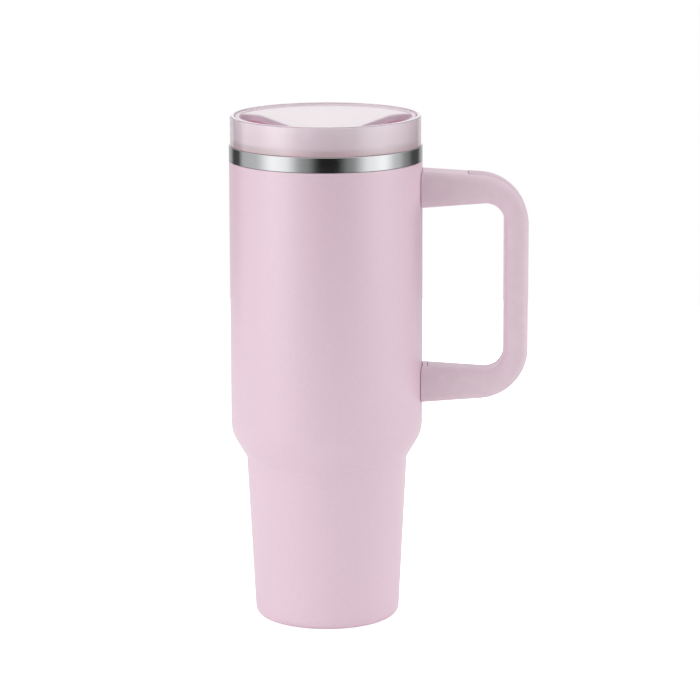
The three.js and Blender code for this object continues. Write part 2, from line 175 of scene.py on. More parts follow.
SOFTBOXES = (("key softbox", Vector((-1.5, -0.9, 0.6)), 9.5), ("fill softbox", Vector((1.7, 0.1, 0.6)), 7.5))
for name, stand, watts in SOFTBOXES:
    lamp = bpy.data.objects.new(name, bpy.data.lights.new(name, "AREA"))
    lamp.data.shape = "RECTANGLE"
    lamp.data.size = 0.7
    lamp.data.size_y = 1.2
    lamp.data.energy = watts
    facing = (stand - AIM).to_track_quat("Z", "Y").to_matrix().to_4x4()
    lamp.matrix_world = Matrix.Translation(stand) @ facing
    lamp.visible_glossy = False
    scene.collection.objects.link(lamp)


# ------------------------------------------------------------ outer wall
# A drawn and spun sheet of stainless steel with a narrow lower cup, a cone and a straight upper part. It is
# powder coated outside up to the bare band, and its foot is rolled in round the bottom pan.
def metres(mm):
    return mm / 1000


def box_mm(node):
    """The low and the high corner of a CAD node's box."""
    low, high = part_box(node)
    return low * 1000, high * 1000


def rounded(corners, closed=False, step=9):
    """A line of points from corners (x, y, radius), with each corner turned into an arc of that radius."""
    line = []
    for i, (x, y, *radius) in enumerate(corners):
        corner = Vector((x, y))
        is_end = not closed and i in (0, len(corners) - 1)
        if is_end or not radius:
            line.append(corner)
            continue
        back = (Vector(corners[i - 1][:2]) - corner).normalized()
        on = (Vector(corners[(i + 1) % len(corners)][:2]) - corner).normalized()
        half = back.angle(on) / 2
        centre = corner + (back + on).normalized() * radius[0] / math.sin(half)
        start = corner + back * radius[0] / math.tan(half) - centre
        sweep_angle = (math.pi - 2 * half) * (1 if back.cross(on) < 0 else -1)
        count = max(2, math.ceil(abs(math.degrees(sweep_angle)) / step))
        for k in range(count + 1):
            line.append(centre + Matrix.Rotation(sweep_angle * k / count, 2) @ start)
    return line


def moved(corners, distance):
    """Corners of the same line moved to the right of its direction, each with its own radius kept."""
    points = [Vector(c[:2]) for c in corners]
    result = []
    for i, point in enumerate(points):
        before = (point - points[i - 1]).normalized() if i else (points[1] - point).normalized()
        after = (points[i + 1] - point).normalized() if i < len(points) - 1 else before
        sides = [Vector((d.y, -d.x)) for d in (before, after)]
        shift = (sides[0] + sides[1]) * distance / (1 + sides[0].dot(sides[1]))
        result.append((point.x + shift.x, point.y + shift.y, *corners[i][2:]))
    return result


def spun(line, closed=False, steps=144):
    """A bmesh of a line of (radius, height) in mm, spun once round Z."""
    mesh = bmesh.new()
    points = [mesh.verts.new((metres(max(r, 0)), 0, metres(z))) for r, z in line]
    pairs = list(zip(points, points[1:])) + ([(points[-1], points[0])] if closed else [])
    edges = [mesh.edges.new(pair) for pair in pairs]
    bmesh.ops.spin(mesh, geom=points + edges, axis=(0, 0, 1), cent=(0, 0, 0), angle=2 * math.pi,
                   steps=steps, use_merge=True)
    bmesh.ops.remove_doubles(mesh, verts=mesh.verts, dist=1e-7)
    bmesh.ops.recalc_face_normals(mesh, faces=mesh.faces)
    return mesh


SHARP_FROM = math.radians(35)


def piece(name, mesh, finish, body, node):
    """Makes a mesh the piece that stands for a CAD node and rides on its body, with its finish and slot."""
    data = bpy.data.meshes.new(name)
    mesh.to_mesh(data)
    mesh.free()
    data.shade_smooth()
    data.set_sharp_from_angle(angle=SHARP_FROM)
    data.materials.append(finish)
    made = bpy.data.objects.new(name, data)
    scene.collection.objects.link(made)
    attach(made, body)
    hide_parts(node)


def grain(tree, size_mm, detail=2.0, stretch=(1, 1, 1)):
    """Noise on object coordinates whose features are about size_mm across."""
    where = add(tree, "ShaderNodeTexCoord").outputs["Object"]
    scaled = add(tree, "ShaderNodeMapping", Vector=where, Scale=stretch).outputs[0]
    return add(tree, "ShaderNodeTexNoise", Vector=scaled, Scale=1000 / size_mm, Detail=detail).outputs[0]


def bumped(tree, shader, height, depth_mm):
    """Relief on a surface, this deep where the height goes from 0 to 1."""
    bump = add(tree, "ShaderNodeBump", Strength=1.0, Distance=metres(depth_mm), Height=height)
    tree.links.new(bump.outputs[0], shader.inputs["Normal"])


def toned(tree, shader, factor, dark, light, low=0.3, high=0.7):
    """Base colour between two tones, as the factor goes from low to high."""
    tones_with_painted_light = ramp(tree, factor, [(low, linear(dark)), (high, linear(light))])
    tree.links.new(tones_with_painted_light, shader.inputs["Base Color"])


def roughened(tree, shader, factor, low, high):
    """Roughness between two levels, as the factor goes from 0 to 1."""
    level = add(tree, "ShaderNodeMapRange", Value=factor, To_Min=low, To_Max=high).outputs[0]
    tree.links.new(level, shader.inputs["Roughness"])


# Polyester powder coat: cured beads flow into a satin skin with a faint orange peel and a fine tooth.
powder_coat, tree, shader = surface("satin powder coat", Specular_IOR_Level=1.0, IOR=1.65)
peel = grain(tree, 1.6)
tooth = grain(tree, 0.45, 3.0)
toned(tree, shader, peel, "#e2c5d3", "#e5c8d6")
roughened(tree, shader, tooth, 0.3, 0.38)
skin = add(tree, "ShaderNodeMath", {"operation": "MULTIPLY_ADD"}, i0=peel, i1=2.0, i2=tooth).outputs[0]
bumped(tree, shader, skin, 0.006)

shell_low, shell_high = box_mm("outer_shell")
SHEET = 0.5
UPPER_R = 50.1
CONE_Z = 99.6
CREASE = (42.05, 86.0)
FOOT_R = 37.64
HEM_R = 32.2
outside = [
    (UPPER_R, shell_high.z),
    (UPPER_R, CONE_Z, 18),
    (*CREASE, 1.0),
    (FOOT_R, shell_low.z, 4.8),
    (HEM_R, shell_low.z, 0.7),
    (HEM_R, shell_low.z + 2.6),
]
mesh = spun(rounded(outside, step=5), steps=192)
bmesh.ops.solidify(mesh, geom=mesh.faces, thickness=metres(SHEET))
piece("outer_shell_coated", mesh, powder_coat, "cup", "outer_shell")


# ------------------------------------------------------------ inner wall and bare band
# The wetted wall of the cup, spun from stainless steel and electropolished to a satin inside. Its mouth is
# rolled over, welded to the outer wall and polished bright, and is the bare band above the powder coat.
def off_axis(tree):
    """Distance from the Z axis, in metres."""
    where = add(tree, "ShaderNodeTexCoord").outputs["Object"]
    flat = add(tree, "ShaderNodeMapping", Vector=where, Scale=(1, 1, 0)).outputs[0]
    return add(tree, "ShaderNodeVectorMath", {"operation": "LENGTH"}, Vector=flat).outputs["Value"]


# Polished steel with fine turning marks. The satin inside mirrors less; its paler colour and lower metal are
# painted light, which brightens the cup's shadowed inside.
SATIN_R = 48
polished, tree, shader = surface("polished stainless steel", Metallic=1.0)
turning = grain(tree, 0.5, 3.0, (0.02, 0.02, 1.0))
inside_painted_light = add(tree, "ShaderNodeMath", {"operation": "LESS_THAN"}, i0=off_axis(tree),
             i1=metres(SATIN_R)).outputs[0]
# Painted light: the inside is toned paler than the bare band, and is part diffuse.
toned(tree, shader, inside_painted_light, "#c0c1c2", "#dcddde", 0.0, 1.0)
satin = add(tree, "ShaderNodeMath", {"operation": "MULTIPLY_ADD"}, i0=inside_painted_light, i1=0.28, i2=0.1).outputs[0]
level = add(tree, "ShaderNodeMath", {"operation": "MULTIPLY_ADD"}, i0=turning, i1=0.1, i2=satin).outputs[0]
tree.links.new(level, shader.inputs["Roughness"])
metal = add(tree, "ShaderNodeMath", {"operation": "MULTIPLY_ADD"}, i0=inside_painted_light, i1=-0.3, i2=1.0).outputs[0]
tree.links.new(metal, shader.inputs["Metallic"])
bumped(tree, shader, turning, 0.0015)

band_low, band_high = box_mm("inner_liner")
WALL_BUILD = 3.7
BAND_FOOT = 243.0
CUP_FLOOR = band_low.z + SHEET
outer_line = [(UPPER_R, band_high.z), (UPPER_R, CONE_Z, 14), (*CREASE, 5), (FOOT_R, band_low.z, 6)]
wall = moved(outer_line, WALL_BUILD)
line = [
    (band_high.x, BAND_FOOT),
    (band_high.x, band_high.z, 0.35),
    (wall[0][0], band_high.z, 1.2),
    *wall[1:-1],
    (wall[-1][0] + 0.3, CUP_FLOOR, 6),
    (0, CUP_FLOOR),
]
mesh = spun(rounded(line, step=6), steps=192)
bmesh.ops.solidify(mesh, geom=mesh.faces, thickness=metres(SHEET))
piece("inner_wall_and_band", mesh, polished, "cup", "inner_liner")


# ------------------------------------------------------------ foot
# Under the cup: the bottom pan that closes the vacuum space, a thin steel cap over its pumping hole, and a
# silicone pad glued on so that the cup doesn't slip or ring on a table.
# Brushed steel: fine lines one way, which stretch each highlight across them.
brushed, tree, shader = surface("brushed stainless steel", Metallic=1.0, Base_Color=linear("#c2c3c4"))
drawn = grain(tree, 0.25, 3.0, (1.0, 0.03, 1.0))
roughened(tree, shader, drawn, 0.25, 0.42)
bumped(tree, shader, drawn, 0.004)

pan_low, pan_high = box_mm("shell_bottom")
PAN_R, DIMPLE_Z, HOLE_R = pan_high.x, pan_high.z - 1, 1.5
pan = [
    (PAN_R - SHEET, pan_low.z),
    (PAN_R, pan_low.z, 0.2),
    (PAN_R, pan_high.z, 0.3),
    (7, pan_high.z, 0.5),
    (5.6, DIMPLE_Z, 0.5),
    (HOLE_R, DIMPLE_Z),
    (HOLE_R, DIMPLE_Z - SHEET),
    (5.8, DIMPLE_Z - SHEET, 0.6),
    (7.2, pan_high.z - SHEET, 0.6),
    (PAN_R - SHEET, pan_high.z - SHEET, 0.3),
]
piece("bottom_pan", spun(rounded(pan, True), True, 96), brushed, "cup", "shell_bottom")

cap_low, cap_high = box_mm("base_cap")
CAP_R = cap_high.x
cap = [
    (0, cap_low.z),
    (CAP_R - 0.3, cap_low.z, 0.2),
    (CAP_R, cap_low.z + 0.3, 0.2),
    (CAP_R, cap_high.z),
    (CAP_R - SHEET, cap_high.z),
    (CAP_R - SHEET, cap_low.z + SHEET, 0.3),
    (0, cap_low.z + SHEET),
]
piece("bottom_cap", spun(rounded(cap), steps=96), brushed, "cup", "base_cap")

# Silicone with a matt, slightly powdery skin. A shallow groove parts the pad's middle from its rim.
pad_silicone, tree, shader = surface("moulded silicone pad", Specular_IOR_Level=0.4)
skin = grain(tree, 0.4, 3.0)
toned(tree, shader, skin, "#c4a9b6", "#d0b5c2")
roughened(tree, shader, skin, 0.6, 0.75)
bumped(tree, shader, skin, 0.02)
pad_high = box_mm("foot_pad")[1]
PAD_R, GROOVE = pad_high.x, 0.4
pad = [
    (0, 0),
    (21, 0, 0.3),
    (21.4, GROOVE, 0.2),
    (22.6, GROOVE, 0.2),
    (23, 0, 0.3),
    (PAD_R - 0.6, 0, 0.4),
    (PAD_R, 0.5, 0.3),
    (PAD_R, pad_high.z),
    (0, pad_high.z),
]
piece("foot_pad_moulded", spun(rounded(pad), steps=96), pad_silicone, "cup", "foot_pad")


def refinished(node, finish):
    """Gives a CAD node that is shown as it is its own finish."""
    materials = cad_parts[node].data.materials
    materials.clear()
    materials.append(finish)


# Inside the vacuum space: a bead of grey solder glass, fused shiny, and a rough pill of sintered getter.
fired, tree, shader = surface("fused solder glass", IOR=1.6)
toned(tree, shader, grain(tree, 0.8), "#4d5359", "#676e75")
roughened(tree, shader, grain(tree, 2.0), 0.1, 0.3)
sintered, tree, shader = surface("sintered getter metal", Metallic=1.0)
toned(tree, shader, grain(tree, 0.2, 4.0), "#57524f", "#827d78")
roughened(tree, shader, grain(tree, 0.3), 0.6, 0.8)
bumped(tree, shader, grain(tree, 0.2, 4.0), 0.03)
refinished("seal_bead", fired)
refinished("getter", sintered)
refinished("getter_clip", brushed)


# ------------------------------------------------------------ handle frame
# One polypropylene moulding with softly rounded edges. It is screwed to two brackets that are welded to the
# cup, and has channels moulded in its outer and inner faces for the soft strips.
# Polypropylene from a spark-eroded mould has a fine, even texture and a broad, soft shine.
moulded, tree, shader = surface("moulded polypropylene", Specular_IOR_Level=0.5)
spark = grain(tree, 0.35, 3.0)
toned(tree, shader, grain(tree, 6.0), "#e6cfda", "#ead3de")
roughened(tree, shader, spark, 0.42, 0.55)
bumped(tree, shader, spark, 0.01)

frame_low, frame_high = box_mm("handle_frame")
MIDDLE = (frame_low.z + frame_high.z) / 2
HALF_W = frame_high.y
EDGE_ROUND = 4.2
ROOT_X = 44
OUTER_CORNER, OUTER_FALL, PALM_BEND = (frame_high.x, 57.14), math.tan(math.radians(3.9)), 26
INNER_CORNER, INNER_RISE, THUMB_BEND = (92.8, 44.84), math.tan(math.radians(4.1)), 10


def edge(corner, slope, bend, start, inset):
    """An edge of the handle in X and Z, root to root, which starts at an X and is moved by an inset."""
    x, z = corner
    top = (start, z + slope * (x - start))
    upper = moved([top, (x, z, bend), (x, 0)], inset)
    upper = [upper[0], (*upper[1][:2], bend - inset)]
    return upper + [(px, -pz, *r) for px, pz, *r in reversed(upper)]


def outer_edge(start, inset=0):
    return edge(OUTER_CORNER, OUTER_FALL, PALM_BEND, start, inset)


def inner_edge(start, inset=0):
    return edge(INNER_CORNER, -INNER_RISE, THUMB_BEND, start, -inset)


def slab(outline, half, bevel=0.0, segments=6):
    """A plate across Y with this outline in X and Z about the handle's middle, its long edges rounded."""
    mesh = bmesh.new()
    corners = [mesh.verts.new((metres(x), metres(-half), metres(z + MIDDLE))) for x, z in outline]
    face = mesh.faces.new(corners)
    made = bmesh.ops.extrude_face_region(mesh, geom=[face])
    lifted = [v for v in made["geom"] if isinstance(v, bmesh.types.BMVert)]
    bmesh.ops.translate(mesh, verts=lifted, vec=(0, metres(2 * half), 0))
    bmesh.ops.recalc_face_normals(mesh, faces=mesh.faces)
    if bevel:
        rims = [e for e in mesh.edges if abs(e.verts[0].co.y - e.verts[1].co.y) < 1e-7]
        bmesh.ops.bevel(mesh, geom=rims, offset=metres(bevel), affect="EDGES", segments=segments, profile=0.5,
                        material=-1)
    return mesh


def cut(mesh, *tools, operation="DIFFERENCE"):
    """The mesh with each tool cut away from it or joined to it. A tool is a closed bmesh, and is used up."""
    def as_object(source):
        data = bpy.data.meshes.new("blank")
        source.to_mesh(data)
        source.free()
        made = bpy.data.objects.new("blank", data)
        scene.collection.objects.link(made)
        return made

    blank = as_object(mesh)
    cutters = [as_object(tool) for tool in tools]
    for cutter in cutters:
        step = blank.modifiers.new("cut", "BOOLEAN")
        step.operation = operation
        step.object = cutter
        step.solver = "EXACT"
    graph = bpy.context.evaluated_depsgraph_get()
    result = bmesh.new()
    result.from_mesh(blank.evaluated_get(graph).data)
    for made in (blank, *cutters):
        bpy.data.objects.remove(made)
    bmesh.ops.remove_doubles(result, verts=result.verts, dist=1e-6)
    return result


def between(edges, inset, deeper, start, step=4):
    """The closed outline between two insets of an edge."""
    lines = [rounded(edges(start, depth), step=step) for depth in (inset, deeper)]
    return lines[0] + lines[1][::-1]


def block(low, high):
    """A cuboid between two corners."""
    made = bmesh.new()
    bmesh.ops.create_cube(made, size=1.0)
    bmesh.ops.scale(made, verts=made.verts, vec=[metres(b - a) for a, b in zip(low, high)])
    bmesh.ops.translate(made, verts=made.verts, vec=[metres(a + b) / 2 for a, b in zip(low, high)])
    return made


def round_bar(radius, low, high, x=0.0, y=0.0, steps=64):
    """An upright cylinder between two heights."""
    made = spun([(0, low), (radius, low), (radius, high), (0, high)], steps=steps)
    bmesh.ops.translate(made, verts=made.verts, vec=(metres(x), metres(y), 0))
    return made


def below(made):
    """The same tool for the lower arm: a half turn round the X direction at the handle's middle."""
    turned = Matrix.Rotation(math.pi, 3, "X")
    bmesh.ops.rotate(made, verts=made.verts, cent=(0, 0, metres(MIDDLE)), matrix=turned)
    return made


bracket_high = box_mm("bracket_upper")[1]
screw_low, screw_high = box_mm("screw_upper")
POCKET_END = bracket_high.x + 1.5
POCKET_LOW, POCKET_HIGH, POCKET_HALF = 225.2, 233.0, 7
SCREW_X = (screw_low.x + screw_high.x) / 2
SCREW_HOLE_R, HEAD_HOLE_R, HEAD_SEAT = 2.2, 3.7, 223.0


def fixing_hollows():
    """The pocket for a bracket's tongue, the screw's hole and the seat for its head."""
    under_arm = 210
    return [
        block((40, -POCKET_HALF, POCKET_LOW), (POCKET_END, POCKET_HALF, POCKET_HIGH)),
        round_bar(SCREW_HOLE_R, under_arm, POCKET_LOW + 1, SCREW_X, steps=32),
        round_bar(HEAD_HOLE_R, under_arm, HEAD_SEAT, SCREW_X, steps=32),
    ]


STRIP_GAP = 0.25
CHANNEL = 1.8
OUTER_START, INNER_START = box_mm("grip_outer")[0].x, box_mm("grip_inner")[0].x
OUTER_HALF, INNER_HALF = box_mm("grip_outer")[1].y, box_mm("grip_inner")[1].y

outline = rounded(outer_edge(ROOT_X), step=3) + rounded(inner_edge(ROOT_X), step=4)[::-1]
mesh = cut(
    slab(outline, HALF_W, EDGE_ROUND),
    round_bar(UPPER_R + 0.3, 80, 260, steps=192),
    *fixing_hollows(),
    *[below(tool) for tool in fixing_hollows()],
    slab(between(outer_edge, -3, CHANNEL, OUTER_START - STRIP_GAP), OUTER_HALF + STRIP_GAP),
    slab(between(inner_edge, -3, CHANNEL, INNER_START - STRIP_GAP), INNER_HALF + STRIP_GAP),
)
piece("handle_moulding", mesh, moulded, "cup", "handle_frame")


# ------------------------------------------------------------ soft strips
# Two strips of thermoplastic elastomer pressed into the handle's channels: one round the outside under the
# palm, and one round the finger gap, which also hides the screws. Each stands a hair proud of the moulding.
def soft_touch(name, dark, light):
    """Moulded elastomer: matt, with a soft bloom at grazing angles."""
    made, tree, shader = surface(name, Specular_IOR_Level=0.35, Sheen_Weight=0.15, Sheen_Roughness=0.4)
    nap = grain(tree, 0.3, 3.0)
    toned(tree, shader, grain(tree, 4.0), dark, light)
    roughened(tree, shader, nap, 0.6, 0.74)
    bumped(tree, shader, nap, 0.012)
    return made


PROUD, STRIP_DEPTH, STRIP_ROUND = 0.25, 1.5, 0.45


def strip(edges, start, half):
    """A strip that follows an edge of the handle, with its long edges slightly rounded."""
    return slab(between(edges, -PROUD, STRIP_DEPTH, start, step=3), half, STRIP_ROUND, segments=3)


palm_touch = soft_touch("soft-touch elastomer, palm", "#dcc5d1", "#e0c9d5")
finger_touch = soft_touch("soft-touch elastomer, fingers", "#f0e0e9", "#f4e4ed")
palm_strip = strip(outer_edge, OUTER_START, OUTER_HALF)
piece("grip_strip_outer", palm_strip, palm_touch, "cup", "grip_outer")
finger_strip = strip(inner_edge, INNER_START, INNER_HALF)
piece("grip_strip_inner", finger_strip, finger_touch, "cup", "grip_inner")

# The brackets and screws under the strips are plain stainless steel, passivated to a dull grey.
passivated, tree, shader = surface("passivated screw steel", Metallic=1.0, Base_Color=linear("#b9bbbd"))
roughened(tree, shader, grain(tree, 0.5, 3.0), 0.25, 0.4)
for node in ("bracket_upper", "bracket_lower", "screw_upper", "screw_lower"):
    refinished(node, passivated)


# ------------------------------------------------------------ lid ring
# One clear moulding in tinted copolyester: a tall ring above the band, a floor with the drinking slot and the
# straw hole, and a skirt that plugs the mouth. Its colour is painted warmer at the foot, with a painted dark
# line along the top edge, and its edges catch the light.
def clear_plastic(name, tint, **settings):
    """Moulded clear plastic, through which shadow rays pass with a tint."""
    made, tree, shader = surface(name, IOR=1.5, **settings)
    bumped(tree, shader, grain(tree, 9.0, 1.0), 0.01)
    let_through = add(tree, "ShaderNodeBsdfTransparent", Color=linear(tint))
    mixed = add(tree, "ShaderNodeMixShader", Fac=add(tree, "ShaderNodeLightPath").outputs["Is Shadow Ray"],
                i1=shader.outputs[0], i2=let_through.outputs[0])
    tree.links.new(mixed.outputs[0], tree.nodes["Material Output"].inputs["Surface"])
    return made, tree, shader


def by_height(tree, stops):
    """Tones by height: stops of (height in mm, colour), from the lowest to the highest."""
    low, high = stops[0][0], stops[-1][0]
    where = add(tree, "ShaderNodeTexCoord").outputs["Object"]
    up = add(tree, "ShaderNodeSeparateXYZ", Vector=where).outputs["Z"]
    place = add(tree, "ShaderNodeMapRange", Value=up, From_Min=metres(low), From_Max=metres(high)).outputs[0]
    return ramp(tree, place, [((z - low) / (high - low), linear(tone)) for z, tone in stops])


lid_low, lid_high = box_mm("lid_body")
gasket_low, gasket_high = box_mm("lid_gasket")

# Painted light and shade in the tint: the floor's rim is painted a warmer, lighter pink for the light in its
# thick plastic, and a painted dark line runs along the top edge, where it is seen edge on.
clear, tree, shader = clear_plastic("tinted clear copolyester", "#f2e9ee", Transmission_Weight=0.52,
                                    Roughness=0.12, Coat_Weight=1.0, Coat_IOR=1.65, Coat_Roughness=0.05)
tones_with_painted_light = by_height(tree, [
    (250, "#fbdfe4"),
    (253, "#f7e3e9"),
    (253.8, "#efe3e9"),
    (lid_high.z - 1.2, "#f1e7ec"),
    (lid_high.z - 0.6, "#efe4ea"),
    (lid_high.z - 0.2, "#b8a3b0"),
    (lid_high.z, "#b5a3af"),
])
tree.links.new(tones_with_painted_light, shader.inputs["Base Color"])


def upright(outline, low, high, corner=0):
    """A prism on an outline in X and Y between two heights, with its upright edges rounded."""
    mesh = bmesh.new()
    face = mesh.faces.new([mesh.verts.new((metres(x), metres(y), metres(low))) for x, y in outline])
    made = bmesh.ops.extrude_face_region(mesh, geom=[face])
    lifted = [v for v in made["geom"] if isinstance(v, bmesh.types.BMVert)]
    bmesh.ops.translate(mesh, verts=lifted, vec=(0, 0, metres(high - low)))
    bmesh.ops.recalc_face_normals(mesh, faces=mesh.faces)
    if corner:
        sharp = [e for e in mesh.edges if abs(e.verts[0].co.z - e.verts[1].co.z) > 1e-6
                 and e.calc_face_angle(0) > math.radians(45)]
        bmesh.ops.bevel(mesh, geom=sharp, offset=metres(corner), affect="EDGES", segments=5, profile=0.5,
                        material=-1)
    return mesh


def sector(middle, half, grow, low, high, inner=32, outer=41):
    """A curved slot as a solid: part of a ring between two radii and two heights, with rounded ends."""
    spread = [half + math.degrees(grow / r) for r in (outer, inner)]
    far = [(outer + grow, middle - spread[0] + 2 * spread[0] * k / 16) for k in range(17)]
    near = [(inner - grow, middle + spread[1] - 2 * spread[1] * k / 16) for k in range(17)]
    corners = [(r * math.cos(math.radians(a)), r * math.sin(math.radians(a))) for r, a in far + near]
    return upright(corners, low, high, min(2.0, (outer - inner) / 2 - 0.2))


# Places round the axis are in degrees. The cover turns by TRAVEL each way, till a peg meets its slot's end.
SLOT_AT, SLOT_HALF, STRAW_AT, TRAVEL = 250, 13, 290, 50
STRAW_OUT = 34


def straw_place(angle):
    """The straw hole's centre in X and Y, with the hole turned to an angle."""
    return STRAW_OUT * math.cos(math.radians(angle)), STRAW_OUT * math.sin(math.radians(angle))


PEG_R, PEG_OUT, PEG_TOP = 1.1, 14, 256.3
STEM_HOLE_R, GROMMET_HOLE_R = 4.4, 6.8
O_RING_R, O_RING_SEAT = 6.2, 251.9
SEAT, FLOOR = 250.8, 253.5
RING_R, RING_IN = lid_high.x, 47.3
PLUG_R, LIP_R = 44.3, 45.8
THROUGH = (240, 270)

profile = [
    (0, SEAT),
    (PLUG_R - 2, SEAT, 0.4),
    (PLUG_R - 2, lid_low.z, 0.4),
    (PLUG_R - 0.8, lid_low.z, 0.5),
    (LIP_R - 0.3, lid_low.z + 1.4, 0.4),
    (LIP_R - 0.3, gasket_low.z - 0.3, 0.2),
    (PLUG_R, gasket_low.z - 0.3),
    (PLUG_R, gasket_high.z + 0.3),
    (LIP_R, gasket_high.z + 0.3, 0.2),
    (LIP_R, SEAT),
    (RING_R, SEAT, 0.3),
    (RING_R, lid_high.z, 0.95),
    (RING_IN, lid_high.z, 0.6),
    (RING_IN, FLOOR, 0.5),
    (0, FLOOR),
]
straw_x, straw_y = straw_place(STRAW_AT)
mesh = cut(
    spun(rounded(profile), steps=192),
    round_bar(STEM_HOLE_R, *THROUGH),
    round_bar(O_RING_R, O_RING_SEAT, THROUGH[1]),
    sector(SLOT_AT, SLOT_HALF, 0, *THROUGH),
    round_bar(GROMMET_HOLE_R, *THROUGH, straw_x, straw_y),
)
mesh = cut(mesh, round_bar(PEG_R, FLOOR - 0.5, PEG_TOP, 0, PEG_OUT, 32), operation="UNION")
piece("lid_ring_and_plug", mesh, clear, "lid", "lid_body")


# ------------------------------------------------------------ lid seals
# Moulded silicone, a deeper pink than the lid: a ribbed gasket round the plug, a grommet in the straw hole
# and an o-ring round the cover's stem. Each is stretched over or into its place.
# Silicone from a satin mould has a waxy skin, between matt and gloss.
silicone, tree, shader = surface("moulded silicone", Specular_IOR_Level=0.4)
toned(tree, shader, grain(tree, 3.0), "#cf88a4", "#d692ac")
roughened(tree, shader, grain(tree, 0.4, 3.0), 0.42, 0.55)
bumped(tree, shader, grain(tree, 0.4, 3.0), 0.01)

ROOT_R, RIB_R = 45.3, gasket_high.x
gasket = [
    (44.6, gasket_low.z),
    (45.2, gasket_low.z, 0.2),
    (RIB_R, gasket_low.z + 1.0, 0.15),
    (RIB_R, gasket_low.z + 1.4, 0.15),
    (ROOT_R, gasket_low.z + 2, 0.3),
    (ROOT_R, gasket_low.z + 3.3, 0.3),
    (RIB_R, gasket_low.z + 3.9, 0.15),
    (RIB_R, gasket_low.z + 4.3, 0.15),
    (ROOT_R, gasket_high.z - 1, 0.3),
    (ROOT_R, gasket_high.z, 0.15),
    (44.6, gasket_high.z),
]
piece("lid_gasket_ribbed", spun(rounded(gasket, True), True), silicone, "lid", "lid_gasket")

grommet_low, grommet_high = box_mm("straw_grommet")
grommet = [
    (4.2, grommet_low.z, 0.3),
    (7.7, grommet_low.z, 0.4),
    (7.7, SEAT - 0.3, 0.3),
    (6.5, SEAT - 0.3),
    (6.5, grommet_high.z, 0.2),
    (4.6, grommet_high.z, 0.3),
    (4.2, grommet_high.z - 0.7, 0.3),
]
mesh = spun(rounded(grommet, True), True, 64)
bmesh.ops.translate(mesh, verts=mesh.verts, vec=(metres(straw_x), metres(straw_y), 0))
piece("straw_grommet_moulded", mesh, silicone, "lid", "straw_grommet")

ring_low, ring_high = box_mm("stem_o_ring")
CORD_R = (ring_high.z - ring_low.z) / 2
CORD_OUT = ring_high.y - CORD_R
ring_z = (ring_low.z + ring_high.z) / 2
angles = [math.radians(a) for a in range(0, 360, 20)]
ring = [(CORD_OUT + CORD_R * math.cos(a), ring_z + CORD_R * math.sin(a)) for a in angles]
piece("stem_o_ring_moulded", spun(ring, True, 64), silicone, "lid", "stem_o_ring")


# ------------------------------------------------------------ turning cover
# A hollow moulding closed by a disc from below. Its top is a raised finger plate that narrows between two
# scoops, and each scoop's floor has an opening: the drinking slot's on the left and the straw's on the right.
COVER_R, LIP_IN = 46.7, 44.6
cover_high = box_mm("cover_top")[1]
PLATE, SCOOP, SKIN = cover_high.z - 0.5, cover_high.z - 5.3, 1.8
UNDER = SCOOP - SKIN
LOW_EDGE, DISC_LOW, DISC_HIGH = 254.6, 255.0, 256.6

# The same plastic made milky with a little filler. Its colour carries painted light: palest on the plate's
# top, a painted deep-pink shade at the scoops' feet, and a painted darker band part-way up the outer wall.
milky, tree, shader = clear_plastic("milky tinted copolyester", "#ebdfe5", Transmission_Weight=0.2,
                                    Roughness=0.2)
# Painted shade: deep pink at the scoops' feet and darker lilac up the flanks, with the plate's top painted
# palest.
inside_painted_light = by_height(tree, [
    (SCOOP, "#ecdce3"),
    (SCOOP + 0.2, "#cd85a4"),
    (SCOOP + 1.1, "#cf9ab2"),
    (SCOOP + 1.8, "#ddced7"),
    (PLATE - 0.9, "#d3c3ce"),
    (PLATE - 0.3, "#d6c6d1"),
    (PLATE - 0.03, "#f1e3e9"),
])
# Painted shade on the cover's outer wall, darkest part-way up, where it shows through the ring.
wall = by_height(tree, [
    (254, "#e4d0d8"),
    (256.5, "#cabec7"),
    (258.5, "#bfb5be"),
    (261, "#d2c5ce"),
    (cover_high.z - 1, "#e4d6de"),
    (cover_high.z, "#dfd1d9"),
])
on_wall = add(tree, "ShaderNodeMath", {"operation": "GREATER_THAN"}, i0=off_axis(tree),
              i1=metres(LIP_IN + 0.1)).outputs[0]
tones_with_painted_light = add(tree, "ShaderNodeMix", {"data_type": "RGBA"}, i0=on_wall, i6=inside_painted_light, i7=wall).outputs[2]
tree.links.new(tones_with_painted_light, shader.inputs["Base Color"])


def bezier(p0, p1, p2, p3, count=20):
    """The points of a cubic curve between its ends."""
    for k in range(1, count):
        t = k / count
        yield p0 * (1 - t) ** 3 + p1 * 3 * t * (1 - t) ** 2 + p2 * 3 * t * t * (1 - t) + p3 * t**3


def finger_plate(inset):
    """The raised plate in plan. Each scoop has a short back edge, a rounded corner and a straight flank."""
    reach = LIP_IN + 1.0
    back_y, tip_x = 9.5 + inset, 15.5 - inset
    corner = Vector((37 - inset, 12 + inset))
    back, tip = math.asin(back_y / reach), math.acos(tip_x / reach)
    root, bend = Vector((reach * math.cos(back), back_y)), corner + Vector((-4, -10))
    pull = 0.62
    turn_in = list(bezier(root, root.lerp(corner, pull), bend.lerp(corner, pull), bend)) + [bend]
    rear = [back + (math.pi - 2 * back) * k / 40 for k in range(41)]
    front = [math.pi + tip + (math.pi - 2 * tip) * k / 12 for k in range(13)]
    rear, front = [[Vector((reach * math.cos(a), reach * math.sin(a))) for a in arc] for arc in (rear, front)]
    return rear + [Vector((-p.x, p.y)) for p in turn_in] + front + turn_in[::-1]


